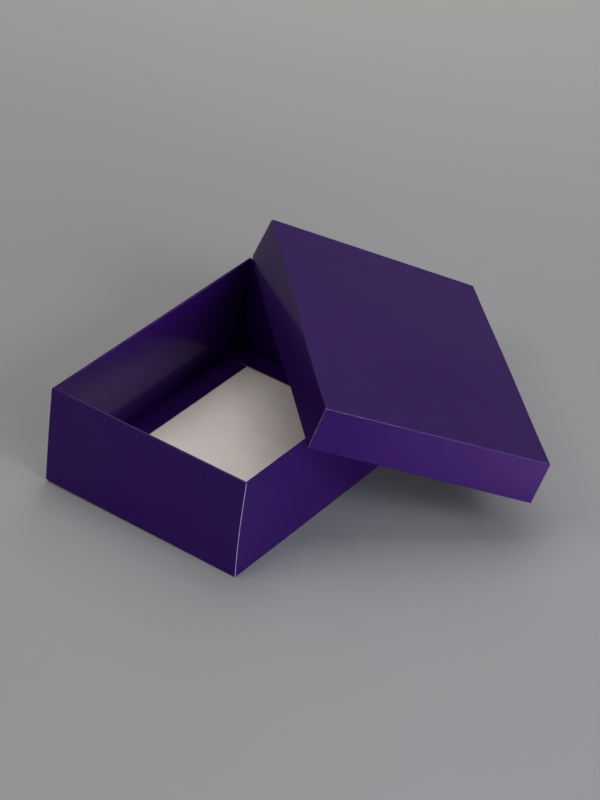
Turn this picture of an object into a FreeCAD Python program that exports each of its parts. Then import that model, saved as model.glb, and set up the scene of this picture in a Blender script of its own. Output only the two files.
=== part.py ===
import FreeCAD, Part
import math
import os

# Lid-and-base folding gift box of creased paperboard, shown with the lid leaning on the base.
# Two die-cut sheets, one for the base and one for the lid. Each sheet is folded along creases
# into a tray with rolled-over double walls: outer wall, narrow top fold, inner wall and a foot
# flap that lies on the floor panel. Corner flaps of the long walls are tucked inside the double
# short walls. Every panel between creases is a solid of its own.
# Frame: origin at the centre of the base's underside, +Z up, X along the base's long side.

# ---- driving dimensions, millimetres and degrees ----
BOARD = 0.5             # board thickness
GAP = 0.1               # free play between layers of board
BASE_LENGTH = 210.0     # outside, along X
BASE_WIDTH = 144.0      # outside, along Y
BASE_HEIGHT = 70.0
LID_LENGTH = 216.0      # outside
LID_WIDTH = 150.0
LID_HEIGHT = 30.0
FOOT_REACH = 17.3       # from a base wall's outer face to the free edge of its foot flap
LID_FOOT_REACH = 14.0
FLAP_LENGTH = 54.0      # base corner flaps, along the short wall
LID_FLAP_LENGTH = 48.0
FLAP_HEIGHT_RATIO = 0.58
SIDE_PLAY = 0.2         # between a short inner wall's ends and the long inner walls

# ---- how the lid leans on the base ----
LID_YAW = -46.3123      # about Z, from +X to the lid's short direction
LID_TILT = 16.9792      # downwards along the lid's short direction
LID_CENTRE = (83.9096, -62.3552, 77.3617)   # middle of the lid's top face

os.makedirs("parts", exist_ok=True)


def plate(x0, x1, y0, y1, z0, z1):
    """A flat rectangular panel between two corners."""
    return Part.makeBox(x1 - x0, y1 - y0, z1 - z0, FreeCAD.Vector(x0, y0, z0))


def profile_plate(points, thickness):
    """A panel of constant thickness along +X from an outline in the plane of its first point."""
    outline = Part.makePolygon([FreeCAD.Vector(*p) for p in points + points[:1]])
    return Part.Face(outline).extrude(FreeCAD.Vector(thickness, 0, 0))


def mirror(shape, normal):
    return shape.mirror(FreeCAD.Vector(0, 0, 0), FreeCAD.Vector(*normal))


def tray(length, width, height, foot_reach, flap_length, opens):
    """Panels of one folded tray, open upwards, in its own frame: floor underside at z = 0,
    long side along X. Where the tray opens, the short wall at -X keeps free play at its creases,
    so that it can unfold. Elsewhere the panels of one sheet meet at their creases."""
    t, g = BOARD, GAP
    hl, hw = length / 2, width / 2
    panels = {}

    # layers of the short double walls, measured inwards from the outer face
    flap_out = t + g            # corner flap, outer face
    inner_out = 2 * t + 2 * g   # inner wall, outer face
    inner_in = 3 * t + 2 * g    # inner wall, face seen from inside
    # layers of the long double walls, which hold no flap
    long_out = t + g
    long_in = 2 * t + g

    floor_top = t
    long_foot = (floor_top + g, floor_top + g + t)
    short_foot = (long_foot[1] + g, long_foot[1] + g + t)
    rim = height - t            # underside of the top folds
    top_play = height - g       # top of the inner walls

    panels["floor"] = plate(-hl + t + (g if opens else 0), hl - t, -hw + t, hw - t, 0, t)

    # long walls
    wall = plate(-hl + t + g, hl - t - g, -hw, -hw + t, 0, rim)
    fold = plate(-hl + t + g, hl - t - g, -hw, -hw + long_out, rim, height)
    inner = plate(-hl + inner_out, hl - inner_out, -hw + long_out, -hw + long_in, long_foot[1], top_play)
    foot = plate(-hl + inner_in + g, hl - inner_in - g, -hw + long_out, -hw + foot_reach, *long_foot)
    for side, flip in (("front", False), ("back", True)):
        for name, shape in (("outer", wall), ("fold", fold), ("inner", inner), ("foot", foot)):
            panels[side + "_" + name] = mirror(shape, (0, 1, 0)) if flip else shape

    # short walls; the rolled part is cut narrower, to pass between the long walls
    half = hw - long_in - SIDE_PLAY
    fold_half = hw - long_out - g
    wall = plate(hl - t, hl, -hw, hw, 0, rim)
    fold = plate(hl - inner_out, hl, -fold_half, fold_half, rim, height)
    inner = plate(hl - inner_in, hl - inner_out, -half, half, short_foot[1], top_play)
    foot = plate(hl - foot_reach, hl - inner_out, -half, half, *short_foot)
    for name, shape in (("outer", wall), ("fold", fold), ("inner", inner), ("foot", foot)):
        panels["right_" + name] = shape
        panels["left_" + name] = mirror(shape, (1, 0, 0))
    if opens:
        panels["left_fold"] = plate(-hl, -hl + inner_out - g, -fold_half, fold_half, rim, height)
        panels["left_inner"] = plate(-hl + inner_out, -hl + inner_in, -half, half, short_foot[1] + g / 2, top_play)
        panels["left_foot"] = plate(-hl + inner_in + g / 2, -hl + foot_reach, -half, half, *short_foot)

    # corner flaps, folded off the ends of the long walls
    top = height * FLAP_HEIGHT_RATIO
    y0 = -hw + t
    low = floor_top + g
    x = -hl + flap_out
    flap = profile_plate([(x, y0, low), (x, y0 + flap_length - 6, low + 2), (x, y0 + flap_length, low + 8),
                          (x, y0 + flap_length, top - 6), (x, y0 + flap_length - 6, top), (x, y0, top)], t)
    panels["front_left_flap"] = flap
    panels["front_right_flap"] = mirror(flap, (1, 0, 0))
    panels["back_left_flap"] = mirror(flap, (0, 1, 0))
    panels["back_right_flap"] = mirror(mirror(flap, (1, 0, 0)), (0, 1, 0))
    return panels


# ---- the base stands upright at the origin ----
base = tray(BASE_LENGTH, BASE_WIDTH, BASE_HEIGHT, FOOT_REACH, FLAP_LENGTH, True)
base_names = {"floor": "base_bottom_panel"}
for side in ("front", "back", "left", "right"):
    base_names[side + "_outer"] = "base_" + side + "_outer_wall"
    base_names[side + "_fold"] = "base_" + side + "_top_fold"
    base_names[side + "_inner"] = "base_" + side + "_inner_wall"
    base_names[side + "_foot"] = "base_" + side + "_foot_flap"
for corner in ("front_left", "front_right", "back_left", "back_right"):
    base_names[corner + "_flap"] = "base_" + corner + "_corner_flap"

# ---- the lid is the same kind of tray, upside down and leaning ----
lid = tray(LID_LENGTH, LID_WIDTH, LID_HEIGHT, LID_FOOT_REACH, LID_FLAP_LENGTH, False)
# the tray's sides as the leaning lid shows them: its short wall at -X is the lid's front rim
lid_side = {"left": "front", "right": "back", "front": "left", "back": "right"}
lid_names = {"floor": "lid_top_panel"}
for side, seen in lid_side.items():
    lid_names[side + "_outer"] = "lid_" + seen + "_outer_rim"
    lid_names[side + "_fold"] = "lid_" + seen + "_rim_fold"
    lid_names[side + "_inner"] = "lid_" + seen + "_inner_rim"
    lid_names[side + "_foot"] = "lid_" + seen + "_foot_flap"
for long_side in ("front", "back"):
    for short_side in ("left", "right"):
        lid_names[long_side + "_" + short_side + "_flap"] = (
            "lid_" + lid_side[long_side] + "_" + lid_side[short_side] + "_corner_flap")

yaw, tilt = math.radians(LID_YAW), math.radians(LID_TILT)
short_dir = (math.cos(yaw) * math.cos(tilt), math.sin(yaw) * math.cos(tilt), -math.sin(tilt))
long_dir = (-math.sin(yaw), math.cos(yaw), 0.0)
normal = (math.cos(yaw) * math.sin(tilt), math.sin(yaw) * math.sin(tilt), math.cos(tilt))
# tray axes in the row frame: X along the lid's long side, Y along its short side, Z into the lid
lean = FreeCAD.Placement(FreeCAD.Matrix(
    long_dir[0], short_dir[0], -normal[0], LID_CENTRE[0],
    long_dir[1], short_dir[1], -normal[1], LID_CENTRE[1],
    long_dir[2], short_dir[2], -normal[2], LID_CENTRE[2],
    0, 0, 0, 1))

nodes = {}
for key, shape in base.items():
    nodes[base_names[key]] = shape
for key, shape in lid.items():
    moved = shape.copy()
    moved.Placement = lean.multiply(moved.Placement)
    nodes[lid_names[key]] = moved

for name, shape in nodes.items():
    solid = shape.Solids[0] if shape.Solids else shape
    solid.exportStep("parts/" + name + ".step")
    box = solid.BoundBox
    print("%-36s valid %s volume %8.1f mm3  z %6.2f..%6.2f" % (name, solid.isValid(), solid.Volume, box.ZMin, box.ZMax))
print(len(nodes), "panels")
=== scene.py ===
import math

import bpy
import bmesh
import numpy as np
from mathutils import Matrix, Vector


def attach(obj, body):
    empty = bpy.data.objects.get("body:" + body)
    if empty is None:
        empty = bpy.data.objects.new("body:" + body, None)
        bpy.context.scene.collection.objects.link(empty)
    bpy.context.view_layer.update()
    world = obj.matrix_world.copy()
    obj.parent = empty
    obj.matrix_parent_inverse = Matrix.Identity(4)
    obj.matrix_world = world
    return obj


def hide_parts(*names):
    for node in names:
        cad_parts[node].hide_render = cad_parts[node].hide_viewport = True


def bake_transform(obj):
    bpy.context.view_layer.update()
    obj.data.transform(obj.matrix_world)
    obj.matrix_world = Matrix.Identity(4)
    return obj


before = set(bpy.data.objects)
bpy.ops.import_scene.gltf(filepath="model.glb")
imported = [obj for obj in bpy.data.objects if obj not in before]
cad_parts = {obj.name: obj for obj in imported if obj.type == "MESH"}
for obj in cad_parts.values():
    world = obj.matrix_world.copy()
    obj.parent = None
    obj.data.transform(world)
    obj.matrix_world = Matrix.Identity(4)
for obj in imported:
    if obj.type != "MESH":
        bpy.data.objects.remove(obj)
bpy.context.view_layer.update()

# A lid-and-base gift box of creased board: printed violet film outside, white reverse, pale raw cut edges.
# Every panel is a thin folded sheet with round creases. Lengths below are millimetres, in a tray's own frame:
# floor underside at z = 0, long side along X. Meshes are placed in the row frame, in metres.

BOARD = 0.5
R_TOP = 0.55        # creases of the rolled top edge
R_FOOT = 0.15       # inside crease between lining and foot flap

# half sizes, wall height, reach of the foot flaps, corner flap length, and the round of the floor creases on long and short sides
BASE = dict(hl=105.0, hw=72.0, height=70.0, reach=17.3, flap=54.0, long_r=0.6, short_r=0.6)
LID = dict(hl=108.0, hw=75.0, height=30.0, reach=14.0, flap=48.0, long_r=0.6, short_r=0.6)

# the leaning lid: centre of its top face and its axes in the row frame
LID_CENTRE = np.array((84.4096, -62.3552, 77.3617))
LID_SHORT = np.array((0.660618, -0.691596, -0.292025))
LID_LONG = np.array((0.723116, 0.690727, 0.0))
LID_NORMAL = np.array((0.201709, -0.211168, 0.956411))

# A folded box is never quite true. How far each corner is off, for the near and far edge of the walls, keyed by the
# signs of tray X and Y. Base: (x, y, z) of the row frame. Lid: along its long side, its short side and out of its top.
BASE_LOW = {(-1, -1): (-0.22, -0.72, 0.0), (1, -1): (0.0, -0.70, 0.0), (-1, 1): (0.50, 0.07, 0.0), (1, 1): (0.0, 0.0, 0.0)}
BASE_TOP = {(-1, -1): (-0.72, -0.52, 0.0), (1, -1): (0.0, -0.52, 0.0), (-1, 1): (-0.88, 0.25, 0.10), (1, 1): (0.0, 0.62, 0.10)}
BASE_LIFT = 1.30    # the left back corner stands a little off the table
BASE_ASIDE = 0.5    # the box stands this far to the right, so that its leaning left wall lies on the table, not in it, when unfolded
LID_TOP = {(-1, -1): (-0.25, -0.85, -0.80), (-1, 1): (0.0, -0.20, 1.78), (1, 1): (0.0, 0.10, -6.14), (1, -1): (0.0, -0.15, 0.36)}
LID_LOW = {(-1, -1): (-0.85, -0.22, -0.36), (-1, 1): (-0.65, 0.36, 1.52), (1, 1): (0.0, 0.30, -6.24), (1, -1): (0.50, -1.10, -0.09)}


# ------------------------------------------------------------------ materials

def new_material(name):
    m = bpy.data.materials.new(name)
    m.use_nodes = True
    nt = m.node_tree
    nt.nodes.clear()
    out = nt.nodes.new("ShaderNodeOutputMaterial")
    bsdf = nt.nodes.new("ShaderNodeBsdfPrincipled")
    nt.links.new(bsdf.outputs["BSDF"], out.inputs["Surface"])
    return m, nt, bsdf


def add(nt, kind, **values):
    n = nt.nodes.new(kind)
    for key, value in values.items():
        setattr(n, key, value)
    return n


def noise(nt, coords, scale, detail=2.0, rough=0.5, stretch=None):
    n = nt.nodes.new("ShaderNodeTexNoise")
    n.inputs["Scale"].default_value = scale
    n.inputs["Detail"].default_value = detail
    n.inputs["Roughness"].default_value = rough
    if stretch is None:
        nt.links.new(coords, n.inputs["Vector"])
    else:
        m = nt.nodes.new("ShaderNodeMapping")
        m.inputs["Scale"].default_value = stretch
        nt.links.new(coords, m.inputs["Vector"])
        nt.links.new(m.outputs["Vector"], n.inputs["Vector"])
    return n.outputs["Fac"]


def span(nt, value, a, b, lo, hi, smooth=False):
    n = nt.nodes.new("ShaderNodeMapRange")
    n.interpolation_type = "SMOOTHSTEP" if smooth else "LINEAR"
    n.clamp = True
    for key, x in (("From Min", a), ("From Max", b), ("To Min", lo), ("To Max", hi)):
        n.inputs[key].default_value = x
    nt.links.new(value, n.inputs["Value"])
    return n.outputs["Result"]


def math_node(nt, op, a, b):
    n = nt.nodes.new("ShaderNodeMath")
    n.operation = op
    for i, x in enumerate((a, b)):
        if isinstance(x, (int, float)):
            n.inputs[i].default_value = x
        else:
            nt.links.new(x, n.inputs[i])
    return n.outputs[0]


def mix_colour(nt, factor, a, b):
    n = nt.nodes.new("ShaderNodeMix")
    n.data_type = "RGBA"
    nt.links.new(factor, n.inputs[0])
    for i, x in ((6, a), (7, b)):
        if isinstance(x, tuple):
            n.inputs[i].default_value = x + (1.0,)
        else:
            nt.links.new(x, n.inputs[i])
    return n.outputs[2]


def bump(nt, height, strength, distance, normal=None):
    n = nt.nodes.new("ShaderNodeBump")
    n.inputs["Strength"].default_value = strength
    n.inputs["Distance"].default_value = distance
    nt.links.new(height, n.inputs["Height"])
    if normal is not None:
        nt.links.new(normal, n.inputs["Normal"])
    return n.outputs["Normal"]


def violet_film():
    """Printed violet under a satin film: faint print mottle, fine film grain, pale cracks on worn creases, and a paler
    violet painted in as light on parts of the lid's rims and the base's back lining.
    """
    m, nt, bsdf = new_material("violet_film_board")
    co = add(nt, "ShaderNodeTexCoord").outputs["Object"]
    mottle = noise(nt, co, 55.0, 3.0, 0.55)
    grain = noise(nt, co, 1500.0, 2.0, 0.6)
    colour = mix_colour(nt, span(nt, mottle, 0.3, 0.7, 0.0, 1.0), (0.0224, 0.0019, 0.0829), (0.0251, 0.0023, 0.0908))
    colour = mix_colour(nt, span(nt, grain, 0.35, 0.75, 0.0, 0.35), colour, (0.0281, 0.0027, 0.0996))
    # painted light: a paler violet mixed in by a per-point attribute stands in for light falling on the lid's rims and
    # the base's back lining
    painted_light = add(nt, "ShaderNodeAttribute", attribute_name="painted_light").outputs["Fac"]
    colour = mix_colour(nt, math_node(nt, "MULTIPLY", painted_light, span(nt, mottle, 0.2, 0.8, 0.9, 1.1)), colour, (0.0560, 0.0180, 0.1270))
    wear = add(nt, "ShaderNodeAttribute", attribute_name="wear").outputs["Fac"]
    broken = noise(nt, co, 190.0, 4.0, 0.7)
    crack = span(nt, math_node(nt, "MULTIPLY", wear, math_node(nt, "ADD", broken, 0.36)), 0.62, 0.98, 0.0, 1.0, True)
    colour = mix_colour(nt, crack, colour, (0.145, 0.078, 0.27))
    nt.links.new(colour, bsdf.inputs["Base Color"])
    streak = noise(nt, co, 120.0, 3.0, 0.6)
    rough = math_node(nt, "ADD", span(nt, streak, 0.25, 0.75, 0.42, 0.48), span(nt, crack, 0.0, 1.0, 0.0, 0.25))
    nt.links.new(rough, bsdf.inputs["Roughness"])
    wave = bump(nt, noise(nt, co, 260.0, 1.0, 0.4), 0.012, 0.0004)
    nt.links.new(bump(nt, grain, 0.03, 0.0001, wave), bsdf.inputs["Normal"])
    nt.links.new(wave, bsdf.inputs["Coat Normal"])
    bsdf.inputs["Specular IOR Level"].default_value = 0.05
    bsdf.inputs["Coat Weight"].default_value = 0.24
    bsdf.inputs["Coat Roughness"].default_value = 0.08
    return m


def white_reverse():
    """Uncoated white reverse of the board: short fibres, faint cloudy tone, no gloss."""
    m, nt, bsdf = new_material("white_reverse_board")
    co = add(nt, "ShaderNodeTexCoord").outputs["Object"]
    cloud = noise(nt, co, 60.0, 4.0, 0.6)
    fibre = noise(nt, co, 900.0, 4.0, 0.7, (1.0, 0.35, 1.0))
    colour = mix_colour(nt, span(nt, cloud, 0.3, 0.7, 0.0, 1.0), (0.855, 0.80, 0.74), (0.905, 0.85, 0.79))
    colour = mix_colour(nt, span(nt, fibre, 0.55, 0.8, 0.0, 0.5), colour, (0.785, 0.735, 0.685))
    nt.links.new(colour, bsdf.inputs["Base Color"])
    nt.links.new(span(nt, fibre, 0.2, 0.8, 0.62, 0.78), bsdf.inputs["Roughness"])
    nt.links.new(bump(nt, fibre, 0.12, 0.00015), bsdf.inputs["Normal"])
    bsdf.inputs["Specular IOR Level"].default_value = 0.30
    return m


def raw_edge():
    """Cut edge of the board: pale plies, a little dusty violet where the film was cut, and painted shade that darkens
    it towards the print colour in a shaded corner.
    """
    m, nt, bsdf = new_material("raw_cut_edge_board")
    co = add(nt, "ShaderNodeTexCoord").outputs["Object"]
    plies = noise(nt, co, 2600.0, 3.0, 0.6)
    patch = noise(nt, co, 130.0, 3.0, 0.6)
    colour = mix_colour(nt, span(nt, plies, 0.3, 0.7, 0.0, 1.0), (0.46, 0.345, 0.54), (0.60, 0.465, 0.69))
    colour = mix_colour(nt, span(nt, patch, 0.45, 0.75, 0.0, 0.65), colour, (0.26, 0.17, 0.34))
    # painted shade: a per-point attribute darkens the cut edge to a dark violet where it lies in shade
    painted_shade = add(nt, "ShaderNodeAttribute", attribute_name="painted_shade").outputs["Fac"]
    colour = mix_colour(nt, painted_shade, colour, (0.035, 0.008, 0.095))
    nt.links.new(colour, bsdf.inputs["Base Color"])
    nt.links.new(span(nt, plies, 0.2, 0.8, 0.75, 0.92), bsdf.inputs["Roughness"])
    nt.links.new(bump(nt, plies, 0.3, 0.0001), bsdf.inputs["Normal"])
    bsdf.inputs["Specular IOR Level"].default_value = 0.25
    return m


def studio_paper():
    m, nt, bsdf = new_material("studio_paper")
    co = add(nt, "ShaderNodeTexCoord").outputs["Object"]
    cloud = noise(nt, co, 3.0, 3.0, 0.5)
    tooth = noise(nt, co, 1200.0, 2.0, 0.5)
    colour = mix_colour(nt, span(nt, cloud, 0.3, 0.7, 0.0, 1.0), (0.355, 0.359, 0.361), (0.365, 0.369, 0.371))
    nt.links.new(colour, bsdf.inputs["Base Color"])
    nt.links.new(span(nt, tooth, 0.3, 0.7, 0.72, 0.80), bsdf.inputs["Roughness"])
    nt.links.new(bump(nt, tooth, 0.05, 0.0002), bsdf.inputs["Normal"])
    bsdf.inputs["Specular IOR Level"].default_value = 0.25
    return m


VIOLET, WHITE, EDGE, PAPER = violet_film(), white_reverse(), raw_edge(), studio_paper()


# ------------------------------------------------------------------ folded board

def graded(length, fine=0.25, growth=1.75, coarse=5.0):
    """Cut positions along a run, close together at its ends and coarse in the middle."""
    ends, step = [0.0], fine
    while ends[-1] + step < length / 2 and step < coarse:
        ends.append(ends[-1] + step)
        step *= growth
    rest = length - 2 * ends[-1]
    count = max(1, math.ceil(rest / coarse))
    middle = [ends[-1] + rest * k / count for k in range(1, count)]
    return np.array(ends + middle + [length - e for e in reversed(ends)]) if rest > 1e-9 else np.array(ends)


class Path:
    """Printed face of a strip in cross-section: points and outward normals, with the creases marked."""

    def __init__(self, point, normal):
        self.p, self.n, self.creases = [np.array(point, float)], [np.array(normal, float)], []

    def here(self):
        return len(self.p) - 1

    def length(self):
        q = np.array(self.p)
        return np.concatenate(([0.0], np.cumsum(np.linalg.norm(np.diff(q, axis=0), axis=1))))

    def run(self, to, coarse=5.0):
        a, b = self.p[-1], np.array(to, float)
        size = np.linalg.norm(b - a)
        for d in graded(size, coarse=coarse)[1:]:
            self.p.append(a + (b - a) * d / size)
            self.n.append(self.n[-1])
        return self

    def turn(self, centre, normal, wear=0.0, steps=8):
        c, a, b = np.array(centre, float), self.n[-1], np.array(normal, float)
        r = np.linalg.norm(self.p[-1] - c)
        side = 1.0 if np.dot(self.p[-1] - c, a) > 0 else -1.0
        sweep = math.atan2(a[0] * b[1] - a[1] * b[0], np.dot(a, b))
        base = math.atan2(a[1], a[0])
        start = self.length()[-1]
        for k in range(1, steps + 1):
            ang = base + sweep * k / steps
            n = np.array((math.cos(ang), math.sin(ang)))
            self.p.append(c + side * r * n)
            self.n.append(n)
        self.creases.append(((start + self.length()[-1]) / 2, wear))
        return self


def board(name, path, first, last, lo, hi, place, bow=0.0, edge_wear=0.35, coarse=5.0, painted_light_at=None, painted_shade_at=None):
    """One panel: stations first..last of a path, between the widths lo and hi (per station), as a closed thin sheet."""
    s = path.length()[first:last + 1]
    p, n = np.array(path.p)[first:last + 1], np.array(path.n)[first:last + 1]
    lo, hi = np.broadcast_to(lo, s.shape).astype(float), np.broadcast_to(hi, s.shape).astype(float)
    wide_lo, wide_hi = lo.min(), hi.max()
    cols = wide_lo + graded(wide_hi - wide_lo, coarse=coarse)
    share = (cols - wide_lo) / (wide_hi - wide_lo)
    w = cols[None, :] + (lo - wide_lo)[:, None] * (1 - share)[None, :] + (hi - wide_hi)[:, None] * share[None, :]
    rows, wide = w.shape
    along = (s - s[0]) / max(s[-1] - s[0], 1e-9)
    swell = bow * np.sin(math.pi * along)[:, None] ** 0.8 * np.sin(math.pi * share)[None, :] ** 0.8
    front = p[:, None, :] + n[:, None, :] * swell[:, :, None]
    rear = p[:, None, :] + n[:, None, :] * (swell[:, :, None] - BOARD)
    verts = np.concatenate([place(front[..., 0], front[..., 1], w).reshape(-1, 3),
                            place(rear[..., 0], rear[..., 1], w).reshape(-1, 3)]) / 1000.0
    count = rows * wide
    i, j = np.meshgrid(np.arange(rows - 1), np.arange(wide - 1), indexing="ij")
    q = (i * wide + j).ravel()
    quad = np.stack([q, q + 1, q + wide + 1, q + wide], 1)
    faces, mats = [quad, quad[:, ::-1] + count], [0] * len(quad) + [1] * len(quad)
    r = np.arange(rows - 1)
    for col in (0, wide - 1):
        k = r * wide + col
        faces.append(np.stack([k, k + wide, k + wide + count, k + count], 1))
        mats += [2] * len(k)
    c = np.arange(wide - 1)
    for row in (0, rows - 1):
        k = row * wide + c
        faces.append(np.stack([k, k + count, k + 1 + count, k + 1], 1))
        mats += [2] * len(k)
    mesh = bpy.data.meshes.new(name)
    mesh.from_pydata(verts.tolist(), [], np.concatenate(faces).tolist())
    for m in (VIOLET, WHITE, EDGE):
        mesh.materials.append(m)
    mesh.polygons.foreach_set("material_index", mats)
    bm = bmesh.new()
    bm.from_mesh(mesh)
    bmesh.ops.recalc_face_normals(bm, faces=bm.faces)
    bm.to_mesh(mesh)
    bm.free()
    worn = np.zeros((rows, wide))
    for at, weight in path.creases:
        worn = np.maximum(worn, weight * np.exp(-((s - at) / 0.24) ** 2)[:, None])
    from_end = np.minimum(w - lo[:, None], hi[:, None] - w)
    worn = np.maximum(worn, edge_wear * np.exp(-(from_end / 0.3) ** 2))
    attr = mesh.attributes.new("wear", "FLOAT", "POINT")
    attr.data.foreach_set("value", np.concatenate([worn.ravel()] * 2).astype(np.float32))
    # painted light: the film is painted paler where light falls, given from the position along and across the panel by
    # the function passed in
    painted_light = np.zeros((rows, wide)) if painted_light_at is None else painted_light_at(along[:, None], share[None, :])
    attr = mesh.attributes.new("painted_light", "FLOAT", "POINT")
    attr.data.foreach_set("value", np.concatenate([painted_light.ravel()] * 2).astype(np.float32))
    # painted shade: the cut edge is darkened towards the print colour, given in the same way
    painted_shade = np.zeros((rows, wide)) if painted_shade_at is None else np.broadcast_to(painted_shade_at(along[:, None], share[None, :]), (rows, wide))
    attr = mesh.attributes.new("painted_shade", "FLOAT", "POINT")
    attr.data.foreach_set("value", np.concatenate([painted_shade.ravel()] * 2).astype(np.float32))
    mesh.polygons.foreach_set("use_smooth", [True] * len(mesh.polygons))
    mesh.set_sharp_from_angle(angle=math.radians(38))
    mesh.update()
    obj = bpy.data.objects.new(name, mesh)
    bpy.context.scene.collection.objects.link(obj)
    return obj


def wall_path(tray, radius, inner, foot_top, wear_floor, wear_top):
    """Cross-section of a rolled double wall: (distance inwards from the outer face, height)."""
    h, rt = tray["height"], R_TOP
    path = Path((radius, 0.0), (0.0, -1.0))
    at = {"floor": path.here()}
    path.turn((radius, radius), (-1.0, 0.0), wear_floor)
    at["wall"] = path.here()
    path.run((0.0, h - rt))
    at["fold"] = path.here()
    path.turn((rt, h - rt), (0.0, 1.0), wear_top)
    if inner - 2 * rt > 0.02:
        path.run((inner - rt, h))
    at["over"] = path.here()
    path.turn((inner - rt, h - rt), (1.0, 0.0), wear_top)
    at["lining"] = path.here()
    path.run((inner, foot_top + R_FOOT))
    at["foot"] = path.here()
    path.turn((inner + R_FOOT, foot_top + R_FOOT), (0.0, 1.0))
    at["flat"] = path.here()
    path.run((tray["reach"], foot_top))
    at["end"] = path.here()
    return path, at


def half_widths(path, at, wall, fold, turned, lining, foot, floor):
    """Half-width of a wall strip at every station of its path."""
    w = np.zeros(len(path.p))
    w[at["floor"]:at["wall"]] = np.linspace(floor, wall, at["wall"] - at["floor"], endpoint=False)
    w[at["wall"]:at["fold"] + 1] = wall
    w[at["fold"] + 1:at["fold"] + 8] = wall if fold < wall else fold
    w[at["fold"] + 8:at["over"] + 1] = fold
    w[at["over"] + 1:at["lining"] + 1] = turned
    w[at["lining"]:at["foot"] + 1] = lining
    w[at["foot"] + 1:at["flat"]] = np.linspace(lining, foot, at["flat"] - at["foot"] - 1)
    w[at["flat"]:] = foot
    return w


def make_tray(tray, prefix, names, settle, wear):
    """All panels of one tray. settle maps tray points to the row frame. Returns {key: object}."""
    hl, hw, h = tray["hl"], tray["hw"], tray["height"]
    sides = {
        "left": lambda a, z, w: settle(-hl + a, w, z),
        "right": lambda a, z, w: settle(hl - a, -w, z),
        "front": lambda a, z, w: settle(-w, -hw + a, z),
        "back": lambda a, z, w: settle(w, hw - a, z),
    }
    made = {}

    # floor panel, between the creases
    rl, rs = tray["long_r"], tray["short_r"]
    path = Path((-hl + rs, 0.0), (0.0, -1.0)).run((hl - rs, 0.0), coarse=4.0)
    made["floor"] = board(names["floor"], path, 0, path.here(), -hw + rl, hw - rl,
                          lambda x, z, y: settle(x, y, z), bow=wear.get("sag", 0.0), edge_wear=0.0, coarse=4.0)

    for side, place in sides.items():
        short = side in ("left", "right")
        inner, foot_top = (1.7, 1.7) if short else (1.1, 1.1)
        path, at = wall_path(tray, rs if short else rl, inner, foot_top, wear.get(side + "_floor", wear["floor"]), wear["top"])
        if short:
            w = half_widths(path, at, wall=hw, fold=hw - 0.7, turned=hw - 1.3, lining=hw - 1.3, foot=hw - 1.35, floor=hw - rl)
        else:
            w = half_widths(path, at, wall=hl - 1.15, fold=hl - 0.6, turned=hl - 1.25, lining=hl - 1.25, foot=hl - 1.9, floor=hl - rs - 0.15)
            # above the corner flaps the wall runs on to its cut ends
            z = np.array([q[1] for q in path.p])
            above = np.arange(len(z)) > at["wall"]
            above &= np.arange(len(z)) <= at["fold"]
            w[above & (z > 0.58 * h)] = hl - 0.6
        lo, hi = -w, w.copy()
        if side + "_end" in wear:
            # the back end of this wall stands slightly proud of the corner
            rise = np.clip(np.array([q[1] for q in path.p]) / h, 0, 1)
            hi = hi + (np.arange(len(w)) <= at["fold"]) * wear[side + "_end"] * np.sin(math.pi * rise)
        cut = lambda key, a, b, bow=0.0: board(names[side + "_" + key], path, at[a], at[b], lo[at[a]:at[b] + 1], hi[at[a]:at[b] + 1],
                                               loose if key in ("inner", "foot") else place, bow=bow,
                                               painted_light_at=wear.get(side + "_" + key + "_rub"), painted_shade_at=wear.get(side + "_" + key + "_soil"))
        swell = wear.get(side + "_swell")
        loose = place if swell is None else (lambda a, z, w, place=place, swell=swell: place(a + swell(a, z, w), z, w))
        bow = wear.get(side + "_bow", 0.0)
        if side == "left" and prefix == "base":
            # the lining and its foot are lifted less than the wall, and lie flat when they are unrolled
            loose = lambda a, z, w: settle(-hl + a, w, z, 0.6)
            made["left_crease"] = cut_crease("base_left_floor_crease", path, at, "floor", "wall", lo, hi, place)
            made["left_outer"] = cut("outer", "wall", "fold", bow)
            made["left_fold"] = cut("fold", "fold", "over")
            made["left_over"] = cut_crease("base_left_lining_crease", path, at, "over", "lining", lo, hi, place)
            made["left_inner"] = cut("inner", "lining", "foot", 0.15)
            made["left_bend"] = cut_crease("base_left_foot_crease", path, at, "foot", "flat", lo, hi, loose)
            made["left_foot"] = cut("foot", "flat", "end")
        else:
            made[side + "_outer"] = cut("outer", "floor", "fold", bow)
            made[side + "_fold"] = cut("fold", "fold", "lining")
            made[side + "_inner"] = cut("inner", "lining", "foot", 0.15)
            made[side + "_foot"] = cut("foot", "foot", "end")

    # corner flaps, folded off the ends of the long walls and tucked behind the short ones
    top, low, r = 0.58 * h, 0.6, R_TOP
    for key, fx, fy in (("front_left", -1, -1), ("front_right", 1, -1), ("back_left", -1, 1), ("back_right", 1, 1)):
        # u: inwards from the short wall's outer face, v: inwards from the long wall's outer face
        path = Path((0.6 + r, 0.0), (0.0, -1.0))
        path.turn((0.6 + r, r), (-1.0, 0.0), 0.3)
        bend = path.here()
        path.run((0.6, 0.5 + tray["flap"] - 6.0))
        path.run((0.6, 0.5 + tray["flap"]))
        v = np.array([q[1] for q in path.p])
        reach = np.clip((v - 0.5) / (tray["flap"] - 6.0), 0, 1)
        tip = np.clip((v - 0.5 - (tray["flap"] - 6.0)) / 6.0, 0, 1)
        lo = low + 2.0 * reach + 6.0 * tip
        hi = top - 6.0 * tip
        place = lambda u, v, z, fx=fx, fy=fy: settle(fx * (hl - u), fy * (hw - v), z)
        made[key + "_flap"] = board(names[key + "_flap"], path, 0, path.here(), lo, hi, place)
    return made


def cut_crease(name, path, at, a, b, lo, hi, place):
    return board(name, path, at[a], at[b], lo[at[a]:at[b] + 1], hi[at[a]:at[b] + 1], place)


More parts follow.
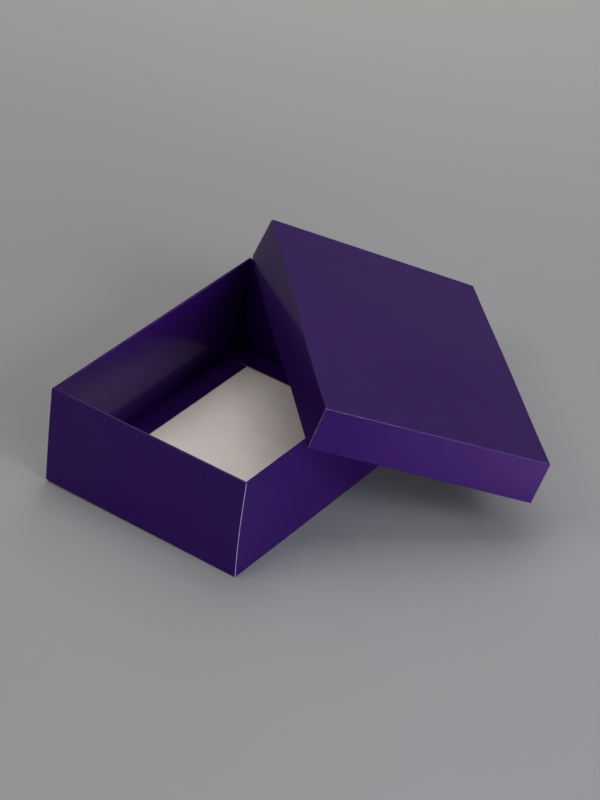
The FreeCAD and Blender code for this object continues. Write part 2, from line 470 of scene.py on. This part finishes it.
def corner_mix(tray, low, top, x, y, z):
    """Offset at a point of a tray, mixed from those of its eight corners."""
    u, v, t = x / tray["hl"] / 2 + 0.5, y / tray["hw"] / 2 + 0.5, z / tray["height"]
    total = 0.0
    for sx, sy in low:
        share = (u if sx > 0 else 1 - u) * (v if sy > 0 else 1 - v)
        total = total + share[..., None] * ((1 - t)[..., None] * np.array(low[sx, sy]) + t[..., None] * np.array(top[sx, sy]))
    return total


def settle_base(x, y, z, lifted=1.0):
    x, y, z = np.broadcast_arrays(x, y, z)
    off = corner_mix(BASE, BASE_LOW, BASE_TOP, x, y, z)
    rise = np.clip(z / 70.0, 0, 1)
    lift = lifted * BASE_LIFT * (y / 144.0 + 0.5) * np.clip(1 - (x + 105.0) / 50.0, 0, 1) * (1 - rise)
    # the left front corner is drawn in a little between floor and top edge
    drawn = np.clip(-y / 72.0, 0, 1) ** 6 * np.exp(-((x + 105.0) / 40.0) ** 2)
    drawn = drawn * (0.95 * np.sin(math.pi * rise ** 0.8) + 0.2 * (1 - rise) ** 2)
    return np.stack([x + BASE_ASIDE, y + drawn, z + lift], -1) + off


def settle_lid(x, y, z):
    """Tray X runs along the lid's long side, tray Y along its short side, tray Z into the lid. The thin lid is
    slightly twisted, and stays up where the base's hidden corner carries it."""
    x, y, z = np.broadcast_arrays(x, y, z)
    off = corner_mix(LID, LID_TOP, LID_LOW, x, y, z)
    off[..., 2] += 1.8 * np.exp(-((y - 22.8) ** 2 + (x - 8.6) ** 2) / (2 * 38.0 ** 2)) - z
    # the rim over the open base stands out from its crease and bulges; the opposite edge is drawn in
    t = np.clip(z / 30.0, 0, 1)
    flare = 1.6 * np.interp(x, (-70, -45, -30, 0, 85, 100, 108), (0, 0, 0.35, 1, 1, 0.35, 0))
    bulge = np.interp(x, (-108, -75, -45, -20, 5, 90, 108), (0, 0.6, 0.9, 0.63, 0.4, 0.3, 0))
    crease = 0.8 * np.exp(-((x + 50.0) / 55.0) ** 2) * np.clip((x + 108.0) / 20.0, 0, 1)
    off[..., 1] -= np.clip(-y / 75.0, 0, 1) ** 8 * (flare * t + 4 * bulge * t * (1 - t) + crease * (1 - t))
    off[..., 1] -= np.clip(y / 75.0, 0, 1) ** 8 * 0.4 * np.cos(math.pi * x / 216.0)
    return (LID_CENTRE + (x + off[..., 0])[..., None] * LID_LONG + (y + off[..., 1])[..., None] * LID_SHORT
            + off[..., 2][..., None] * LID_NORMAL)


def front_rim_painted_sheen(along, share):
    """Painted sheen: the lid's front rim is painted paler towards its right end and its top edge."""
    return np.clip(share, 0, 1) ** 1.2 * (1 - 0.55 * np.clip(along, 0, 1) ** 1.5)


def slack(a, z, w):
    """The base's back lining stands off its wall between the corners, most at half height. Its foot keeps its edge."""
    rise = np.where(z > 38.0, 1.8 * (1 - ((z - 38.0) / 32.0) ** 2), 1.8 - 1.3 * ((38.0 - z) / 38.0) ** 2)
    ends = np.clip((102.0 - np.abs(w)) / 22.0, 0, 1)
    return np.clip(rise, 0, None) * ends ** 2 * (3 - 2 * ends) * np.clip((17.3 - a) / 16.2, 0, 1)


def foot_edge_painted_shade(along, share):
    """Painted shade: the cut edge of the right foot flap, darkened where it runs into the back corner."""
    return 0.25 + 0.75 * np.clip((0.09 - share) / 0.03, 0, 1) + 0 * along


def left_rim_painted_light(along, share):
    """Painted light: a paler film at the far end of the lid's left rim, next to the top panel. Here share runs from
    right to left.
    """
    return 0.45 * np.clip(1 - share, 0, 1) ** 1.5 * np.clip(1 - 1.5 * along, 0, 1)


def back_lining_painted_light(along, share):
    """Painted light: a paler film on the left half of the base's back lining, most at half height."""
    return 0.75 * np.clip(1 - 1.2 * share, 0, 1) * np.sin(math.pi * np.clip(along, 0, 1)) ** 0.7


def names_for(tray_name, side_names, words):
    outer, fold, inner, foot = words
    out = {}
    for side, seen in side_names.items():
        out[side + "_outer"] = tray_name + "_" + seen + "_" + outer
        out[side + "_fold"] = tray_name + "_" + seen + "_" + fold
        out[side + "_inner"] = tray_name + "_" + seen + "_" + inner
        out[side + "_foot"] = tray_name + "_" + seen + "_" + foot
    for long_side in ("front", "back"):
        for short_side in ("left", "right"):
            out[long_side + "_" + short_side + "_flap"] = (
                tray_name + "_" + side_names[long_side] + "_" + side_names[short_side] + "_corner_flap")
    return out


base_nodes = names_for("base", {s: s for s in ("left", "right", "front", "back")},
                       ("outer_wall", "top_fold", "inner_wall", "foot_flap"))
base_nodes["floor"] = "base_bottom_panel"
lid_nodes = names_for("lid", {"left": "front", "right": "back", "front": "left", "back": "right"},
                      ("outer_rim", "rim_fold", "inner_rim", "foot_flap"))
lid_nodes["floor"] = "lid_top_panel"
# besides crease wear and bows, these tables carry painted light for the back lining and the lid's rims, and painted
# shade for a cut edge
base_made = make_tray(BASE, "base", {k: v + "_board" for k, v in base_nodes.items()}, settle_base,
                      {"floor": 0.35, "top": 0.35, "front_bow": 0.35, "left_bow": 0.25, "back_bow": 0.3, "right_bow": 0.2,
                       "left_end": 0.3, "back_inner_rub": back_lining_painted_light, "back_swell": slack, "right_foot_soil": foot_edge_painted_shade})
lid_made = make_tray(LID, "lid", {k: v + "_board" for k, v in lid_nodes.items()}, settle_lid,
                     {"floor": 0.40, "left_floor": 1.0, "top": 0.35, "back_bow": 0.2,
                      "left_outer_rub": front_rim_painted_sheen, "front_outer_rub": left_rim_painted_light})

base_rides = {"left_outer": "base_left_wall", "left_fold": "base_left_wall",
              "left_inner": "base_left_lining", "left_foot": "base_left_foot"}


def bend_line(obj, middle, along):
    """Bake the world transform into a crease piece of the left wall; the piece is not bent. middle and along, the line
    where it turns from one panel to the next (not quite parallel to Y), are worked out but not used.
    """
    middle, along = Vector((middle[0] - 105.0, 0.0, middle[1])), Vector(along)
    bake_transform(obj)


for key, obj in base_made.items():
    if key == "left_crease":
        bend_line(obj, (0.94, 0.95), (-1.0, -0.0040, 1.0))
    elif key == "left_over":
        bend_line(obj, (1.15, 69.79), (1.0, 0.0018, -1.0))
    elif key == "left_bend":
        bend_line(obj, (2.3875, 2.138), (1.0, 0.00026, -1.0))
    else:
        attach(obj, base_rides.get(key, "base"))
        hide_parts(base_nodes[key])
for key, obj in lid_made.items():
    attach(obj, "lid")
    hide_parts(lid_nodes[key])


# ------------------------------------------------------------------ studio

def studio_floor():
    n, size = 48, 9.0
    t = np.linspace(-1, 1, n + 1)
    t = np.sign(t) * np.abs(t) ** 1.8 * size / 2
    verts = [(x, y, 0.0) for y in t for x in t]
    faces = [(r * (n + 1) + c, r * (n + 1) + c + 1, (r + 1) * (n + 1) + c + 1, (r + 1) * (n + 1) + c)
             for r in range(n) for c in range(n)]
    mesh = bpy.data.meshes.new("studio_floor")
    mesh.from_pydata(verts, [], faces)
    mesh.materials.append(PAPER)
    obj = bpy.data.objects.new("studio_floor", mesh)
    bpy.context.scene.collection.objects.link(obj)
    return obj


def soft_light(name, place, target, size, watts):
    """A rectangular softbox; watts are red, green, blue."""
    data = bpy.data.lights.new(name, "AREA")
    data.shape = "RECTANGLE"
    data.size, data.size_y = size
    data.energy = max(watts)
    data.color = [w / max(watts) for w in watts]
    obj = bpy.data.objects.new(name, data)
    obj.location = place
    obj.rotation_mode = "QUATERNION"
    obj.rotation_quaternion = (Vector(target) - Vector(place)).to_track_quat("-Z", "Y")
    obj.visible_camera = False
    bpy.context.scene.collection.objects.link(obj)
    return obj


studio_floor()
soft_light("front_low_softbox", (-0.872, -1.627, 0.490), (0.05, -0.03, 0.03), (1, 0.35), (4.65, 4.65, 5.30))
soft_light("front_softbox", (0.050, -1.752, 0.833), (0.05, -0.03, 0.03), (0.8, 0.4), (0.10, 0.15, 0.95))
soft_light("front_high_softbox", (-0.220, -1.563, 1.120), (0.05, -0.03, 0.03), (0.9, 0.6), (9.85, 10.00, 10.95))
soft_light("front_top_softbox", (-0.266, -1.210, 1.485), (0.05, -0.03, 0.03), (0.9, 0.7), (0.90, 0.80, 0.85))
soft_light("top_softbox", (0.258, 0.330, 1.986), (0.05, -0.03, 0.03), (1.4, 1.4), (15.35, 15.00, 14.80))
soft_light("right_softbox", (1.379, 0.454, 1.444), (0.05, -0.03, 0.03), (1.2, 0.9), (5.50, 5.40, 5.50))
soft_light("right_low_softbox", (1.887, 0.567, 0.548), (0.05, -0.03, 0.03), (1.4, 0.8), (1.48, 1.16, 1.62))
soft_light("left_softbox", (-1.109, 0.639, 1.516), (0.05, -0.03, 0.03), (1.2, 0.9), (7.70, 7.45, 7.45))
soft_light("back_low_softbox", (0.795, 2.017, 0.336), (0.05, -0.03, 0.03), (1.6, 0.4), (3.35, 3.50, 2.85))
soft_light("front_edge_light", (-1.170, -1.695, 0.130), (0.03, -0.12, 0.04), (1, 0.22), (20.20, 22.90, 19.90))
soft_light("backdrop_light", (0.600, 0.390, 0.550), (1.12, 0.68, 0), (1.2, 0.3), (1.95, 1.98, 1.55))

world = bpy.data.worlds.new("studio_world")
bpy.context.scene.world = world
world.use_nodes = True
background = world.node_tree.nodes["Background"]
background.inputs["Color"].default_value = (1.0, 1.0, 1.0, 1.0)
background.inputs["Strength"].default_value = 0.004

camera_data = bpy.data.cameras.new("photo_camera")
camera_data.lens = 147.673
camera_data.sensor_width = 36.0
camera_data.sensor_fit = "AUTO"
camera_data.clip_start, camera_data.clip_end = 0.05, 50.0
camera = bpy.data.objects.new("photo_camera", camera_data)
bpy.context.scene.collection.objects.link(camera)
right, up, ahead = (0.5605075, -0.8207691, 0.1103152), (0.4071837, 0.3891272, 0.8263059), (0.7211330, 0.4182321, -0.5523126)
camera.matrix_world = Matrix(((right[0], up[0], -ahead[0], -1.459125), (right[1], up[1], -ahead[1], -0.886419),
                              (right[2], up[2], -ahead[2], 1.179808), (0, 0, 0, 1)))
bpy.context.scene.camera = camera

bpy.context.scene.view_settings.view_transform = "Standard"
bpy.context.scene.view_settings.look = "None"

bpy.context.view_layer.update()
